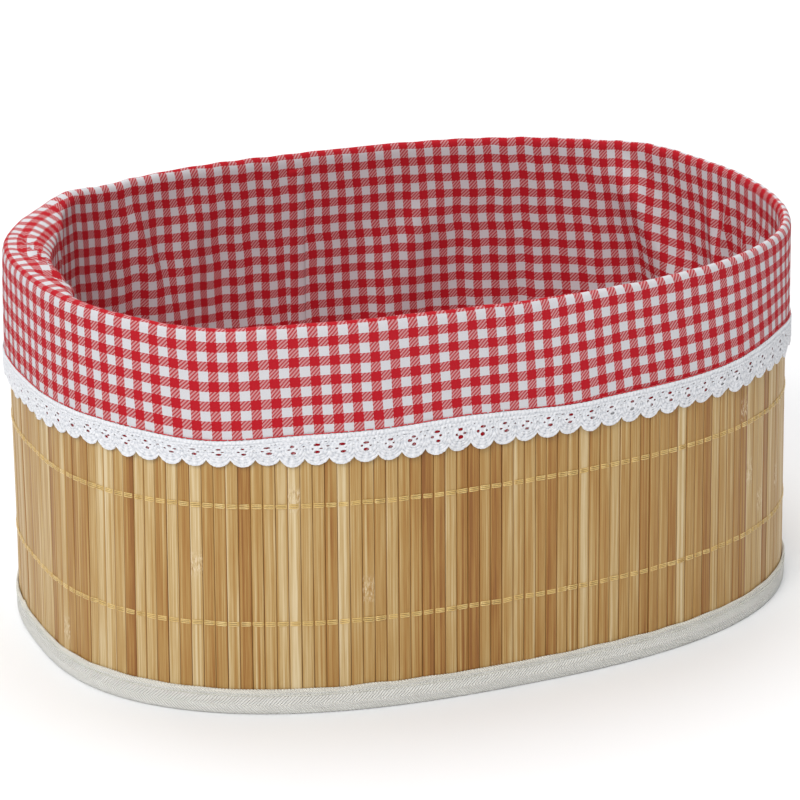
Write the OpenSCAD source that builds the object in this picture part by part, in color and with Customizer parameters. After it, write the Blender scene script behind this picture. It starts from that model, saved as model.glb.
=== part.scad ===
// Oval bread basket: a wall and a base of bamboo slats held by woven threads, bound at
// both edges with cotton tape over wire hoops, and a cloth liner that lifts out.
// Its own frame: origin on the floor under the middle, +X along the length, +Z up.

/* [Oval] */
// Half of the length, at the floor and at the outer face of the slats
half_length = 170; // [150:1:190]
// Half of the width, at the floor and at the outer face of the slats
half_width = 121; // [100:1:140]
// Fullness of the oval's corners, where 2 is an ellipse
oval_power = 2.47; // [2.1:0.01:2.8]
// How far the wall leans in towards its top, in degrees
wall_lean = 1.1; // [0:0.1:1.5]
// Height of the whole basket, to the top of the liner's fold
basket_height = 164; // [140:1:190]

/* [Slats] */
// Slats in each of the wall's panels
slats_in_panel = 12; // [10:1:14]
// Thickness of a slat
slat_thick = 1.4; // [1.2:0.1:1.5]
// Gap between one slat and the next
slat_gap = 0.45; // [0.35:0.05:0.8]
// How far a slat's outer edges are rounded off
slat_round = 0.4; // [0.2:0.1:0.6]

/* [Threads] */
// Height of the lowest thread row's middle on the wall
thread_low_z = 39; // [30:1:45]
// Distance from one thread row to the next
thread_rise = 50; // [45:1:50]
// Height of the strands in one thread row
thread_tall = 2.2; // [1.5:0.1:3]
// Thickness of a strand
thread_thick = 0.5; // [0.3:0.05:0.5]

/* [Binding] */
// Thickness of the cotton tape
tape_thick = 0.8; // [0.6:0.1:0.9]
// Height of the tape on the outside of the wall's foot
foot_tape_tall = 11; // [9:1:14]
// Width of the tape that is folded under the base
foot_tape_under = 13; // [10:1:16]
// Radius of the foot's wire hoop
foot_wire_r = 1.25; // [1:0.05:1.4]
// Radius of the rim's wire hoop
rim_wire_r = 1; // [0.8:0.05:1.1]
// Depth of the tape that is folded over the top of the slats
rim_tape_tall = 14; // [10:1:15]
// Thickness of that tape
rim_tape_thick = 0.5; // [0.4:0.05:0.6]

/* [Liner] */
// Thickness of the liner's cloth
cloth_thick = 0.8; // [0.6:0.1:0.9]
// Height of the cuff's lower hem above the floor, behind the lace
cuff_low_z = 110.5; // [108:0.5:115]
// Height of the lace's straight edge above the floor
lace_top_z = 119; // [117:0.5:125]
// Height of the lace, from its straight edge to the tips of its scallops
lace_tall = 13; // [10:0.5:14]
// Scallops along the lace's lower edge
scallop_count = 98; // [80:1:104]

/* [Hidden] */
panel_count = 16;
base_panel_count = 4;
slat_count = panel_count * slats_in_panel;
clear = 0.3;
touch = 0.05;
rim_tape_clear = 0.2;  // from the slats' face to the rim tape's outer leg

// The sweep has a facet for every second slat, and a wire has eight sides.
sweep_count = 96;
wire_sides = 8;

function oval_radius(t) = pow(
    pow(abs(cos(t)) / half_length, oval_power) + pow(abs(sin(t)) / half_width, oval_power),
    -1 / oval_power);
function oval_point(t) = oval_radius(t) * [cos(t), sin(t)];
function slope(along, half) = sign(along) * pow(abs(along) / half, oval_power - 1) / half;
function oval_normal(t) =
    let (p = oval_point(t), g = [slope(p.x, half_length), slope(p.y, half_width)]) g / norm(g);
function oval_half_width_at(x, inset) =
    (half_width - inset)
    * pow(max(0, 1 - pow(abs(x) / (half_length - inset), oval_power)), 1 / oval_power);

// Distance walked round the oval, against the angle from its middle
walk_count = 720;
walk_step = 360 / walk_count;
walk = [
    for (i = 0, s = 0; i <= walk_count;
         s = s + norm(oval_point((i + 1) * walk_step) - oval_point(i * walk_step)), i = i + 1)
        [s, i * walk_step]
];
perimeter = walk[walk_count][0];
function angle_at(share) = lookup(share * perimeter, walk);
function rim_point(share, out) = let (t = angle_at(share)) oval_point(t) + out * oval_normal(t);
function leaned(out, z) = out - z * tan(wall_lean);

// Wall
slat_pitch = perimeter / slat_count;
slat_wide = slat_pitch - slat_gap;
slat_low_z = tape_thick;
slat_top_z = basket_height - 4.5;
slat_back = -slat_thick;
strand_back = slat_back - thread_thick;

// Base
base_slat_z = tape_thick;
base_top_z = base_slat_z + slat_thick;
base_inset = slat_thick + 0.5;
base_slat_pitch = 5;
base_slat_count = 2 * floor((half_length - base_inset - 6) / base_slat_pitch);
base_slats_in_panel = ceil(base_slat_count / base_panel_count);
base_thread_y = [-78, -26, 26, 78];
under_edge = foot_tape_under - tape_thick - 0.2;

// Foot hoop and the tape that covers it on the inside
foot_wire_out = slat_back - 0.15 - foot_wire_r;
foot_wire_z = base_top_z + 0.15 + foot_wire_r;
corner_tape_thick = 0.6;
corner_drop = 7.5;
corner_run = 5.3;

// Rim hoop and its tape
rim_wire_out = slat_back / 2;
rim_wire_z = slat_top_z + touch + rim_wire_r;
rim_tape_low_z = rim_wire_z - rim_tape_tall + rim_wire_r;
rim_tape_out = rim_wire_out + rim_wire_r + touch + rim_tape_thick;
rim_tape_back = rim_wire_out - rim_wire_r - touch - rim_tape_thick;

// Liner: its wall hangs upright just inside the rim's tape, and its cuff lies outside it
liner_out = leaned(rim_tape_back - clear, rim_wire_z);
liner_in = liner_out - cloth_thick;
liner_foot_z = base_top_z + corner_tape_thick + clear + touch;
liner_foot_inset = -8;
liner_turn_z = 10;
fold_low_z = basket_height - 4.5;
cuff_in = rim_tape_out + clear;
cuff_out = cuff_in + cloth_thick;
seam_thick = 0.4;
seam_wide = 8;

// Lace
lace_in = cuff_out + touch;
lace_thick = 0.8;
lace_heading_tall = 2;
scallop_pitch = perimeter / scallop_count;
scallop_r = 0.46 * scallop_pitch;
scallop_hole_r = 0.4 * scallop_r;
scallop_z = lace_top_z - lace_tall + scallop_r;
stitch_proud = 0.25;
stitch_tall = 0.5;

function numbered(name, count) = [for (i = [1:count]) str(name, i < 10 ? "_0" : "_", i)];
WALL_PANELS = numbered("wall_slats", panel_count);
BASE_PANELS = numbered("base_slats", base_panel_count);

// Puts its children on the wall's outer face, with +X out of the wall and Y along it
module on_wall(share, out = 0) {
    t = angle_at(share);
    n = oval_normal(t);
    p = oval_point(t) + out * n;
    translate([p.x, p.y, 0])
        rotate([0, 0, atan2(n.y, n.x)])
            children();
}

// An upright ring between two distances out from the wall's face
module ring(out_low, out_high, z_low, z_high, sides = sweep_count) {
    outer = [for (i = [0:sides - 1]) rim_point(i / sides, out_high)];
    inner = [for (i = [0:sides - 1]) rim_point(i / sides, out_low)];
    translate([0, 0, z_low])
        linear_extrude(z_high - z_low)
            difference() {
                polygon(outer);
                polygon(inner);
            }
}

// A ring on the leaning wall, at the height of its middle
module leaning_ring(out_low, out_high, z_low, z_high, sides = sweep_count) {
    z_mid = (z_low + z_high) / 2;
    ring(leaned(out_low, z_mid), leaned(out_high, z_mid), z_low, z_high, sides);
}

// A closed outline of [out, z] points, counter-clockwise with out to the right,
// carried round the oval
module oval_sweep(outline) {
    m = len(outline);
    points = [
        for (i = [0:sweep_count - 1], q = outline)
            let (p = rim_point(i / sweep_count, q[0])) [p.x, p.y, q[1]]
    ];
    faces = [
        for (i = [0:sweep_count - 1], j = [0:m - 1])
            let (a = i * m, b = ((i + 1) % sweep_count) * m, k = (j + 1) % m)
            [a + j, a + k, b + k, b + j]
    ];
    polyhedron(points, faces, convexity = 6);
}

// A thin strip's outline: its outer side going up, and back down its inner side
function strip(outer, inner) = concat(outer, [for (i = [len(inner) - 1:-1:0]) inner[i]]);

function circle_outline(out, z, r, sides) =
    [for (i = [0:sides - 1]) [out + r * cos(i * 360 / sides), z + r * sin(i * 360 / sides)]];

module slat(long) {
    half = slat_wide / 2;
    rotate([0, -wall_lean, 0])
        linear_extrude(long)
            polygon([
                [-slat_thick, -half], [-slat_round, -half], [0, -half + slat_round],
                [0, half - slat_round], [-slat_round, half], [-slat_thick, half]]);
}

// ---- Basket: wall ----

module wall_slats(panel) {
    color("burlywood")
        for (i = [0:slats_in_panel - 1])
            on_wall((panel * slats_in_panel + i + 0.5) / slat_count)
                translate([0, 0, slat_low_z])
                    slat(slat_top_z - slat_low_z);
}

// One strand lies on each side of the slats, with a facet for each slat
module wall_thread(z) {
    low_z = z - thread_tall / 2;
    high_z = z + thread_tall / 2;
    color("goldenrod") {
        leaning_ring(touch, thread_thick, low_z, high_z, slat_count);
        leaning_ring(strand_back, slat_back - 2 * touch, low_z, high_z, slat_count);
    }
}

module wall_join_tape() {
    low_z = 12;
    color("antiquewhite")
        on_wall(0.25)
            rotate([0, -wall_lean, 0])
                translate([strand_back - touch - rim_tape_thick, -10, low_z])
                    cube([rim_tape_thick, 20, rim_tape_low_z - 2 - low_z]);
}

// ---- Basket: base ----

module base_slats(panel) {
    first = panel * base_slats_in_panel;
    last = min(first + base_slats_in_panel, base_slat_count) - 1;
    color("burlywood")
        for (i = [first:last]) {
            x = (i - (base_slat_count - 1) / 2) * base_slat_pitch;
            reach = oval_half_width_at(abs(x) + base_slat_pitch / 2, base_inset);
            translate([x - (base_slat_pitch - slat_gap) / 2, -reach, base_slat_z])
                cube([base_slat_pitch - slat_gap, 2 * reach, slat_thick]);
        }
}

module base_threads() {
    strand = 0.3;
    margin = under_edge + 2;
    color("goldenrod")
        for (y = base_thread_y) {
            reach = (half_length - margin)
                * pow(1 - pow((abs(y) + thread_tall) / (half_width - margin), oval_power), 1 / oval_power);
            for (z = [base_slat_z - strand, base_top_z])
                translate([-reach, y - thread_tall / 2, z])
                    cube([2 * reach, thread_tall, strand]);
        }
}

// ---- Basket: binding ----

module foot_hoop() {
    color("silver")
        oval_sweep(circle_outline(foot_wire_out, foot_wire_z, foot_wire_r, wire_sides));
}

module foot_tape() {
    color("antiquewhite") {
        ring(0.2, tape_thick + 0.2, 0, foot_tape_tall);
        ring(-under_edge, 0.2, 0, tape_thick);
    }
}

module foot_tape_stitch() {
    face = tape_thick + 0.2;
    z = 0.76 * foot_tape_tall;
    color("ivory")
        ring(face, face + stitch_proud, z, z + stitch_tall);
}

module foot_inner_tape() {
    top_z = foot_tape_tall;
    wall_side = slat_back - 0.1 - top_z * tan(wall_lean);
    floor_side = base_top_z + touch;
    color("antiquewhite")
        oval_sweep(strip(
            [[-under_edge, floor_side], [wall_side - corner_run, floor_side],
             [wall_side, corner_drop], [wall_side, top_z]],
            [[-under_edge, floor_side + corner_tape_thick],
             [wall_side - corner_run - 0.25, floor_side + corner_tape_thick],
             [wall_side - corner_tape_thick, corner_drop + 0.25],
             [wall_side - corner_tape_thick, top_z]]));
}

module rim_hoop() {
    color("silver")
        oval_sweep(circle_outline(leaned(rim_wire_out, rim_wire_z), rim_wire_z, rim_wire_r, wire_sides));
}

// The tape's outline: up the outside, over the hoop and down the inside, then back
module rim_tape() {
    turn = [for (a = [0:45:180]) a];
    around = rim_wire_r + touch;
    function over(r) = [
        for (a = turn) [leaned(rim_wire_out + r * cos(a), rim_wire_z), rim_wire_z + r * sin(a)]];
    function side(out, z) = [leaned(out, z), z];
    outside = rim_tape_clear;
    inside = slat_back - touch;
    color("antiquewhite")
        oval_sweep(concat(
            [side(outside + rim_tape_thick, rim_tape_low_z)],
            over(around + rim_tape_thick),
            [side(inside - rim_tape_thick, rim_tape_low_z), side(inside, rim_tape_low_z)],
            [for (i = [len(turn) - 1:-1:0]) over(around)[i]],
            [side(outside, rim_tape_low_z)]));
}

module rim_tape_stitch() {
    z = rim_tape_low_z + 2;
    face = rim_tape_clear + rim_tape_thick + 2 * touch;
    color("ivory")
        leaning_ring(face, face + 3 * touch, z, z + stitch_tall);
}

// ---- Liner ----

module liner_wall() {
    color("salmon")
        oval_sweep(strip(
            [[liner_foot_inset, liner_foot_z + cloth_thick], [liner_out, liner_turn_z],
             [liner_out, fold_low_z]],
            [[liner_foot_inset - cloth_thick, liner_foot_z + cloth_thick],
             [liner_in, liner_turn_z + 0.5], [liner_in, fold_low_z]]));
}

module liner_wall_seam() {
    color("indianred")
        on_wall(0.25)
            translate([liner_in - seam_thick - 0.02, -seam_wide / 2, liner_turn_z + 4])
                cube([seam_thick, seam_wide, fold_low_z - liner_turn_z - 6]);
}

module liner_bottom() {
    color("salmon")
        translate([0, 0, liner_foot_z])
            linear_extrude(cloth_thick)
                polygon([for (i = [0:slat_count - 1]) rim_point(i / slat_count, liner_foot_inset)]);
}

module liner_bottom_seam() {
    low_z = liner_foot_z + cloth_thick;
    color("indianred")
        ring(liner_foot_inset - cloth_thick - 1.2, liner_foot_inset - cloth_thick - 0.2, low_z, low_z + 0.8);
}

// The fold is half an ellipse from the cuff's outer side to the wall's inner side
module liner_rim_fold() {
    outer = leaned(cuff_out, fold_low_z);
    middle = (outer + liner_in) / 2;
    half = (outer - liner_in) / 2;
    rise = basket_height - fold_low_z;
    turn = [for (a = [0:30:180]) a];
    function arc(thick) = [
        for (a = turn) [middle + (half - thick) * cos(a), fold_low_z + (rise - thick) * sin(a)]];
    color("salmon")
        oval_sweep(concat(arc(0), [for (i = [len(turn) - 1:-1:0]) arc(cloth_thick)[i]]));
}

module liner_cuff() {
    color("salmon")
        oval_sweep([
            [leaned(cuff_in, cuff_low_z), cuff_low_z], [leaned(cuff_out, cuff_low_z), cuff_low_z],
            [leaned(cuff_out, fold_low_z), fold_low_z], [leaned(cuff_in, fold_low_z), fold_low_z]]);
}

module cuff_hem_stitch() {
    z = lace_top_z + 0.4;
    color("firebrick")
        leaning_ring(cuff_out + touch, cuff_out + stitch_proud, z, z + stitch_tall);
}

// ---- Lace ----

module lace_heading() {
    color("white")
        leaning_ring(lace_in, lace_in + lace_thick, lace_top_z - lace_heading_tall, lace_top_z);
}

module lace_mesh() {
    color("white")
        leaning_ring(lace_in, lace_in + lace_thick, scallop_z, lace_top_z - lace_heading_tall);
}

module lace_scallops() {
    out = leaned(lace_in, scallop_z);
    color("white")
        for (i = [0:scallop_count - 1])
            on_wall((i + 0.5) / scallop_count, out)
                translate([0, 0, scallop_z])
                    difference() {
                        rotate([0, 90, 0])
                            difference() {
                                cylinder(h = lace_thick, r = scallop_r, $fn = 24);
                                translate([scallop_r / 2, 0, -1])
                                    cylinder(h = lace_thick + 2, r = scallop_hole_r, $fn = 24);
                            }
                        translate([-1, -scallop_r - 1, 0])
                            cube([lace_thick + 2, 2 * scallop_r + 2, scallop_r + 1]);
                    }
}

for (i = [0:panel_count - 1])
    wall_slats(i);
for (i = [0:base_panel_count - 1])
    base_slats(i);
wall_thread(thread_low_z);  // wall_thread_low
wall_thread(thread_low_z + thread_rise);  // wall_thread_middle
wall_thread(thread_low_z + 2 * thread_rise);  // wall_thread_high
base_threads();
wall_join_tape();
foot_hoop();
foot_tape();
foot_tape_stitch();
foot_inner_tape();
rim_hoop();
rim_tape();
rim_tape_stitch();
liner_wall();
liner_wall_seam();
liner_bottom();
liner_bottom_seam();
liner_rim_fold();
liner_cuff();
cuff_hem_stitch();
lace_heading();
lace_mesh();
lace_scallops();
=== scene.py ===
"""Looks for the oval bread basket: bamboo slats, gold threads, cotton tape, checked liner, lace."""
import math

import bpy
import numpy as np
from mathutils import Matrix, Vector


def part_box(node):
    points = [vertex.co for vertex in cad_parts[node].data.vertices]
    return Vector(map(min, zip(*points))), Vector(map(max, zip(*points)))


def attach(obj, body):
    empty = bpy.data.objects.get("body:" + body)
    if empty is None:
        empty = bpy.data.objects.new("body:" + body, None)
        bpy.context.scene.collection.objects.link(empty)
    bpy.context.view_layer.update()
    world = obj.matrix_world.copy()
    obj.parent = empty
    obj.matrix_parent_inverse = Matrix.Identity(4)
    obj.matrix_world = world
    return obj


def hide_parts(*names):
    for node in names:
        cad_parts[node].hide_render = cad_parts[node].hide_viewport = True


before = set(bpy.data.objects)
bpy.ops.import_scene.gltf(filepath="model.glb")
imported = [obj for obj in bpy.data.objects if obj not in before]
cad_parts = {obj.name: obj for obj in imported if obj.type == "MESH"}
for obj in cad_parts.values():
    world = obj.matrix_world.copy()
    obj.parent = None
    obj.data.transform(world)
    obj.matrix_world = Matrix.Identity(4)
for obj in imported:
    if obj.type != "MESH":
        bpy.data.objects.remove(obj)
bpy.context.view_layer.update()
MM = 0.001

# ---- Dimensions, from the frame and from how the object is made ----

TAPE_FACE = 1.0 * MM  # how far the foot tape's outer face stands out from the slats
HALF_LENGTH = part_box("foot_tape")[1].x - TAPE_FACE
HALF_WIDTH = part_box("foot_tape")[1].y - TAPE_FACE
OVAL_POWER = 2.47
LEAN = math.tan(math.radians(1.1))
BACK = 0.25  # shares of the perimeter run from +X anticlockwise; this one is the middle of the back
LEFT_END = 0.475  # the share that the photo shows as the left edge
SETTLED, SETTLED_HALF_MM, SETTLED_HIGH_MM = 2.8 * MM, 60, 150  # its flattening: depth, half width, height

PANELS = 16
SLATS_IN_PANEL = 12
SLATS = PANELS * SLATS_IN_PANEL
SLAT_THICK = 1.4 * MM
SLAT_GAPS = (0.1 * MM, 0.16 * MM, 0.26 * MM, 0.4 * MM, 0.55 * MM)
SLAT_RINGS = 14  # rings of points along a slat
BASE_PANELS = 4
BASE_PITCH = 5 * MM

TAPE_STITCH_Z = 8.4 * MM
FOOT_STITCHES = 330
TAPE_END = 0.478  # share of the perimeter where the foot tape's end is folded over
EDGE_LOOPS = 760  # little loops along the foot tape's upper edge

FOLD_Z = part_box("liner_rim_fold")[0].z
RIM_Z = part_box("liner_rim_fold")[1].z
HEM_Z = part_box("liner_cuff")[0].z - 0.8 * MM  # the hem reaches a little behind the lace
LINER_FOOT_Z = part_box("liner_wall")[0].z
LACE_TOP_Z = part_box("lace_heading")[1].z
SCALLOPS = 98

CLOTH_THICK = 0.5 * MM
CLOTH_STEPS = 960  # columns of points round the liner
CUFF_OUT = 1.5 * MM  # how far the cuff's cloth stands out from the slats
FLOOR_INSET = 8.7 * MM  # from the slats' face in to the edge of the liner's bottom
CHECKS = 119  # red and white pairs of checks round the cloth
THREADS_IN_CHECK = 10
TWILL = 4  # threads in one repeat of the weave, half of them red where red crosses white
FIRST_ROW = 2.7 * MM  # how far the hem is past the start of a row of checks


# ---- The oval ----

def superellipse(angle):
    """Points of the slats' outer face at the floor, and their outward normals."""
    cosine, sine = np.cos(angle), np.sin(angle)
    fill = (abs(cosine) / HALF_LENGTH) ** OVAL_POWER + (abs(sine) / HALF_WIDTH) ** OVAL_POWER
    radius = fill ** (-1 / OVAL_POWER)
    x, y = radius * cosine, radius * sine
    slope_x = np.sign(x) * (abs(x) / HALF_LENGTH) ** (OVAL_POWER - 1) / HALF_LENGTH
    slope_y = np.sign(y) * (abs(y) / HALF_WIDTH) ** (OVAL_POWER - 1) / HALF_WIDTH
    size = np.hypot(slope_x, slope_y)
    return np.stack([x, y], -1), np.stack([slope_x / size, slope_y / size], -1)


def walked_along(points):
    """The distance walked from the first point to each."""
    return np.concatenate([[0], np.cumsum(np.linalg.norm(np.diff(points, axis=0), axis=1))])


WALK_ANGLE = np.linspace(0, 2 * np.pi, 8193)
WALK = walked_along(superellipse(WALK_ANGLE)[0])
PERIMETER = float(WALK[-1])
CHECK_PERIOD = PERIMETER / CHECKS
SCALLOP_PITCH = PERIMETER / SCALLOPS / MM  # in mm


def on_oval(share):
    """The oval at a share of its perimeter, from +X anticlockwise: points and normals."""
    return superellipse(np.interp((share % 1.0) * PERIMETER, WALK, WALK_ANGLE))


def ease(low, high, x):
    """0 at low, rising smoothly to 1 at high."""
    t = np.clip((x - low) / (high - low), 0, 1)
    return t * t * (3 - 2 * t)


def ease_mm(low, high, length):
    """ease() for a length in metres, from low to high in mm."""
    return ease(low * MM, high * MM, length)


def bell(off, half):
    """1 where off is 0, falling smoothly away over half."""
    return np.exp(-(off / half) ** 2)


def wave(share, low, high, seed):
    """Smooth seeded noise round the oval, about -1 to 1, with low to high waves in a turn."""
    rng = np.random.default_rng(seed)
    total = np.zeros_like(share, dtype=float)
    for waves in range(low, high + 1):
        total += rng.normal() * np.cos(2 * np.pi * (waves * share + rng.random()))
    return total / math.sqrt(high - low + 1)


def apart(share, middle):
    """How far a share is from another the short way round, in metres."""
    return ((share - middle + 0.5) % 1.0 - 0.5) * PERIMETER


def hump(share, middle, half):
    """A bell at the middle share; half is its half width in mm."""
    return bell(apart(share, middle), half * MM)


def bumps(share, level, rows):
    """A level in mm plus smooth bumps, each (middle share, half width in mm, height in mm)."""
    total = sum(tall * hump(share, middle, half) for middle, half, tall in rows)
    return MM * (level + total)


def settled(share, z):
    """The left end is a little flatter than a true oval, most of all at the foot."""
    return SETTLED * ease_mm(SETTLED_HIGH_MM, 0, z) * hump(share, LEFT_END, SETTLED_HALF_MM)


def lifted(xy, z):
    """3-D points from flat ones and their heights."""
    return np.concatenate([xy, z[..., None]], -1)


def wall(share, out, z, lean=LEAN):
    """3-D points that lie out from the leaning wall's face at height z."""
    share, out, z = np.broadcast_arrays(share, out, z)
    points, normals = on_oval(share)
    return lifted(points + (out - z * lean - settled(share, z))[..., None] * normals, z)


def oval_reach(across, half_along, half_across):
    """Half the length of an oval along one axis, at a distance across from it."""
    return half_along * (1 - (across / half_across) ** OVAL_POWER) ** (1 / OVAL_POWER)


# ---- Meshes ----

def lattice(nu, nv, wrap_u=False, wrap_v=False):
    """Quads of a grid of nu by nv points, and each corner's unwrapped grid place."""
    faces_u, faces_v = nu - (not wrap_u), nv - (not wrap_v)
    u, v = np.divmod(np.arange(faces_u * faces_v), faces_v)
    corners = [(u, v), (u + 1, v), (u + 1, v + 1), (u, v + 1)]
    quads = np.stack([(a % nu) * nv + b % nv for a, b in corners], 1)
    return quads, np.stack([np.stack(corner, 1) for corner in corners], 1)


def mesh_piece(name, points, quads, uv=None, tone=None):
    """A mesh object from points, quads, a UV for each quad corner and a colour for each point."""
    points = np.asarray(points, float).reshape(-1, 3)
    used, index = np.unique(quads, return_inverse=True)
    quads = index.reshape(quads.shape)
    mesh = bpy.data.meshes.new(name)
    mesh.vertices.add(len(used))
    mesh.vertices.foreach_set("co", points[used].ravel())
    mesh.loops.add(quads.size)
    mesh.loops.foreach_set("vertex_index", quads.ravel())
    mesh.polygons.add(len(quads))
    mesh.polygons.foreach_set("loop_start", np.arange(len(quads)) * 4)
    mesh.update(calc_edges=True)
    if uv is not None:
        mesh.uv_layers.new(name="UVMap").uv.foreach_set("vector", np.asarray(uv, float).ravel())
    if tone is not None:
        layer = mesh.color_attributes.new("tone", "FLOAT_COLOR", "POINT")
        layer.data.foreach_set("color", np.asarray(tone, float).reshape(-1, 4)[used].ravel())
    mesh.polygons.foreach_set("use_smooth", np.ones(len(quads), bool))
    mesh.validate()
    piece = bpy.data.objects.new(name, mesh)
    bpy.context.scene.collection.objects.link(piece)
    return piece


def grid_piece(name, points, uv, wrap_u=False, wrap_v=False):
    """A piece from a grid of points (nu, nv, 3) and a grid of UVs, one longer where it wraps."""
    quads, steps = lattice(*points.shape[:2], wrap_u, wrap_v)
    return mesh_piece(name, points, quads, uv[steps[..., 0], steps[..., 1]])


def pairs(first, second):
    """A grid of the pairs of two lists of numbers."""
    return np.stack(np.meshgrid(first, second, indexing="ij"), -1)


def strip_uv(steps, lengths):
    """UVs in metres for a sweep of some steps round the oval, with the given heights up it."""
    return pairs(np.arange(steps + 1) / steps * PERIMETER, lengths)


def strand_uv(steps, girth, sides=6):
    """UVs in metres for a strand round the oval."""
    return strip_uv(steps, np.arange(sides + 1) / sides * girth)


def around(profile):
    """The distance walked round a closed profile of (out, z) points, back to its start."""
    return walked_along(np.concatenate([profile, profile[:1]]))


def swept_band(name, profile, steps=768, lean=LEAN, wobble=None):
    """A closed (out, z) profile in metres, anticlockwise, carried round the oval."""
    profile = np.asarray(profile, float)
    share = np.arange(steps)[:, None] / steps
    out = np.broadcast_to(profile[:, 0], (steps, len(profile))).copy()
    z = np.broadcast_to(profile[:, 1], (steps, len(profile))).copy()
    if wobble is not None:
        extra_out, extra_z = wobble(share, profile[:, 0], profile[:, 1])
        out, z = out + extra_out, z + extra_z
    return grid_piece(name, wall(share, out, z, lean), strip_uv(steps, around(profile)), True, True)


def strand_grid(share, out, z, radius, sides=6, flat=1.0, lean=LEAN):
    """A tube round the oval whose centre is out and z at each share; flat squashes it outward."""
    turn = np.arange(sides) / sides * 2 * np.pi
    outward = out[:, None] + radius * flat * np.cos(turn)
    return wall(share[:, None], outward, z[:, None] + radius * np.sin(turn), lean)


def strand_piece(name, share, out, z, radius, girth, sides=6, lean=LEAN):
    """A piece that is one tube round the oval."""
    grid = strand_grid(share, out, z, radius, sides, lean=lean)
    return grid_piece(name, grid, strand_uv(len(share), girth, sides), True, True)


def joined(name, grids, uvs, wrap_u):
    """One piece from several grids that close across, and also along where wrap_u is set."""
    points, quads, corner_uvs, start = [], [], [], 0
    for grid, uv in zip(grids, uvs):
        faces, steps = lattice(*grid.shape[:2], wrap_u, True)
        points.append(grid.reshape(-1, 3))
        quads.append(faces + start)
        corner_uvs.append(uv[steps[..., 0], steps[..., 1]])
        start += len(points[-1])
    return mesh_piece(name, *(np.concatenate(part) for part in (points, quads, corner_uvs)))


def solidify(piece, thick):
    """Gives a thin sheet its thickness, half to each side."""
    thicken = piece.modifiers.new("Thickness", "SOLIDIFY")
    thicken.thickness = thick
    thicken.offset = 0
    thicken.use_even_offset = False


def dress(piece, body, nodes, slot):
    """Rides a piece on its body, stands it for its CAD nodes and gives it its finish."""
    piece.data.materials.append(FINISHES[slot])
    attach(piece, body)
    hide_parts(*nodes)
    return piece


# ---- Materials ----

class Shader:
    """A Principled material with short calls for the nodes in front of it."""

    def __init__(self, name, roughness=0.8, **constants):
        self.material = bpy.data.materials.new(name)
        self.material.use_nodes = True
        self.tree = self.material.node_tree
        self.surface = self.tree.nodes["Principled BSDF"]
        self.surface.inputs["Roughness"].default_value = roughness
        for socket, value in constants.items():
            self.surface.inputs[socket.replace("_", " ")].default_value = value

    def node(self, kind, inputs=(), **settings):
        made = self.tree.nodes.new("ShaderNode" + kind)
        for key, value in settings.items():
            setattr(made, key, value)
        for key, value in dict(inputs).items():
            self.put(value, made.inputs[key])
        return made

    def put(self, value, socket):
        if isinstance(value, bpy.types.NodeSocket):
            self.tree.links.new(value, socket)
        else:
            socket.default_value = value

    def math(self, operation, a, b=0.0, c=0.0):
        return self.node("Math", {0: a, 1: b, 2: c}, operation=operation).outputs[0]

    def times(self, a, b):
        return self.math("MULTIPLY", a, b)

    def plus(self, a, b):
        return self.math("ADD", a, b)

    def times_plus(self, a, b, c):
        return self.math("MULTIPLY_ADD", a, b, c)

    def centred(self, value):
        """A value from 0 to 1, made to run from -0.5 to 0.5."""
        return self.math("SUBTRACT", value, 0.5)

    def uv(self):
        split = self.node("SeparateXYZ", {0: self.node("UVMap", uv_map="UVMap").outputs[0]})
        return split.outputs[0], split.outputs[1]

    def noise(self, vector, detail, scale=1.0, roughness=0.5):
        inputs = {"Vector": vector, "Scale": scale, "Detail": detail, "Roughness": roughness}
        return self.node("TexNoise", inputs).outputs[0]

    def grain(self, x, y, detail, seed=0.0, roughness=0.5):
        """Noise over a flat place, each of x and y as (socket, scale)."""
        place = self.node("CombineXYZ", {0: self.times(*x), 1: self.times(*y), 2: seed}).outputs[0]
        return self.noise(place, detail, roughness=roughness)

    def mix(self, share, a, b):
        made = self.node("Mix", data_type="RGBA")
        self.put(share, made.inputs[0])
        self.put(a, made.inputs[6])
        self.put(b, made.inputs[7])
        return made.outputs[2]

    def ramp(self, value, stops):
        made = self.node("ValToRGB", {0: value})
        elements = made.color_ramp.elements
        for place, colour in stops[1:-1]:
            elements.new(place).color = (*colour, 1)
        elements[0].position, elements[0].color = stops[0][0], (*stops[0][1], 1)
        elements[-1].position, elements[-1].color = stops[-1][0], (*stops[-1][1], 1)
        return made.outputs[0]

    def rescaled(self, value, low, high, at_low, at_high):
        """at_low below low, at_high above high, and a straight line between."""
        inputs = {0: value, 1: low, 2: high, 3: at_low, 4: at_high}
        return self.node("MapRange", inputs).outputs[0]

    def band(self, value, middle, half, soft):
        """1 within half of middle, falling to 0 over soft."""
        off = self.math("ABSOLUTE", self.math("SUBTRACT", value, middle))
        return self.rescaled(off, half, half + soft, 1.0, 0.0)

    def bump(self, height, strength, distance):
        inputs = {"Strength": strength, "Distance": distance, "Height": height}
        self.put(self.node("Bump", inputs).outputs[0], self.surface.inputs["Normal"])

    def colour(self, socket):
        self.put(socket, self.surface.inputs["Base Color"])

    def rough(self, socket):
        self.put(socket, self.surface.inputs["Roughness"])


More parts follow.
